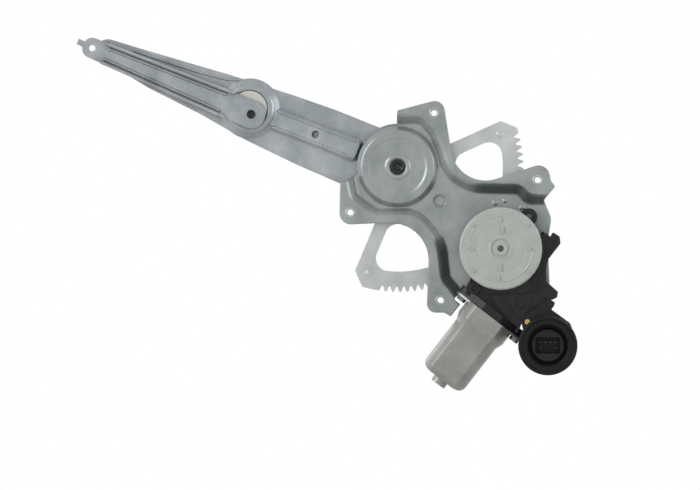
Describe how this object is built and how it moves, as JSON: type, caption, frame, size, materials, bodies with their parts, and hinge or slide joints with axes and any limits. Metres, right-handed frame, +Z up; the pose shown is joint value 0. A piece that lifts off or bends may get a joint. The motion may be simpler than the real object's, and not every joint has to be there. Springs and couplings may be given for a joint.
{
  "type": "window regulator",
  "caption": "Crossed-arm vehicle window regulator: pressed base plate, lift arm with sector gear, equalizer arm, and a worm-geared electric motor with a booted connector.",
  "frame": {"origin": "main pivot axis at the back face of the base plate's web", "axes": "+Z up as mounted, +X along the door away from the arm's tip, +Y from the cabin side outwards"},
  "size_m": [0.3916, 0.0703, 0.2749],
  "materials": {
    "zinc_steel": "zinc plated, satin",
    "pin_steel": "turned, oiled",
    "spring_steel": "blued",
    "black_plastic": "moulded, glass filled",
    "cap_plastic": "moulded, pale grey",
    "bearing_bronze": "sintered, oiled",
    "brass": "plain",
    "can_steel": "warm grey zinc coating",
    "magnet_ferrite": "pressed ferrite",
    "carbon": "pressed carbon",
    "rubber": "moulded",
    "arm_steel": "zinc plated, satin",
    "gear_steel": "zinc plated, bright",
    "nylon": "moulded, natural",
    "roller_nylon": "moulded, natural",
    "lamination_steel": "stacked sheet",
    "copper_winding": "enamelled wire"
  },
  "bodies": {
    "base": {"base_plate": "zinc_steel", "pivot_pin": "pin_steel", "balance_spring": "spring_steel", "gear_case": "black_plastic", "gear_cap": "cap_plastic", "output_bush": "bearing_bronze", "motor_mount_screws": "pin_steel", "can_screws": "pin_steel", "sealing_screw": "brass", "motor_can": "can_steel", "motor_magnets": "magnet_ferrite", "shaft_bearings": "bearing_bronze", "brush_holder": "black_plastic", "brushes": "carbon", "connector_body": "black_plastic", "connector_pins": "brass", "connector_boot": "rubber"},
    "lift": {"lift_arm": "arm_steel", "sector_gear": "gear_steel", "arm_rivets": "gear_steel", "pivot_bush": "bearing_bronze", "spring_post": "pin_steel", "pivot_disc": "nylon", "lift_arm_roller_pin": "pin_steel"},
    "equalizer": {"equalizer_front_arm": "arm_steel", "equalizer_hub": "gear_steel", "equalizer_rear_arm": "arm_steel", "equalizer_roller_pin": "pin_steel"},
    "lift_roller": {"lift_arm_roller": "roller_nylon"},
    "equalizer_end_roller": {"equalizer_roller": "roller_nylon"},
    "output": {"worm_wheel": "nylon", "wheel_damper": "rubber", "output_shaft": "pin_steel", "drive_pinion": "pin_steel"},
    "armature": {"worm_shaft": "pin_steel", "armature_core": "lamination_steel", "armature_coils": "copper_winding", "commutator": "brass"}
  },
  "joints": [
    {"name": "lift_arm_hinge", "type": "hinge", "parent": "base", "child": "lift", "pos_m": [0, 0.007, 0], "axis": [0, 1, 0], "range_deg": [-56, 48]},
    {"name": "equalizer_hinge", "type": "hinge", "parent": "lift", "child": "equalizer", "pos_m": [-0.11622, 0.0055, 0.04602], "axis": [0, 1, 0], "range_deg": [-90, 90]},
    {"name": "lift_roller_spin", "type": "hinge", "parent": "lift", "child": "lift_roller", "pos_m": [-0.22826, 0.0165, 0.09037], "axis": [0, 1, 0], "continuous": true},
    {"name": "equalizer_roller_spin", "type": "hinge", "parent": "equalizer", "child": "equalizer_end_roller", "pos_m": [0.0122, 0.0165, -0.00339], "axis": [0, 1, 0], "continuous": true},
    {"name": "output_spin", "type": "hinge", "parent": "base", "child": "output", "pos_m": [0.08081, -0.019, -0.06359], "axis": [0, 1, 0], "range_deg": [-727.86, 849]},
    {"name": "armature_spin", "type": "hinge", "parent": "base", "child": "armature", "pos_m": [0.10059, -0.019, -0.07888], "axis": [0.6115, 0, 0.7912], "range_deg": [-31255.86, 36465]}
  ],
  "couplings": [
    {"joint": "output_spin", "follows": "lift_arm_hinge", "ratio": -15.143},
    {"joint": "armature_spin", "follows": "lift_arm_hinge", "ratio": -651.14}
  ]
}
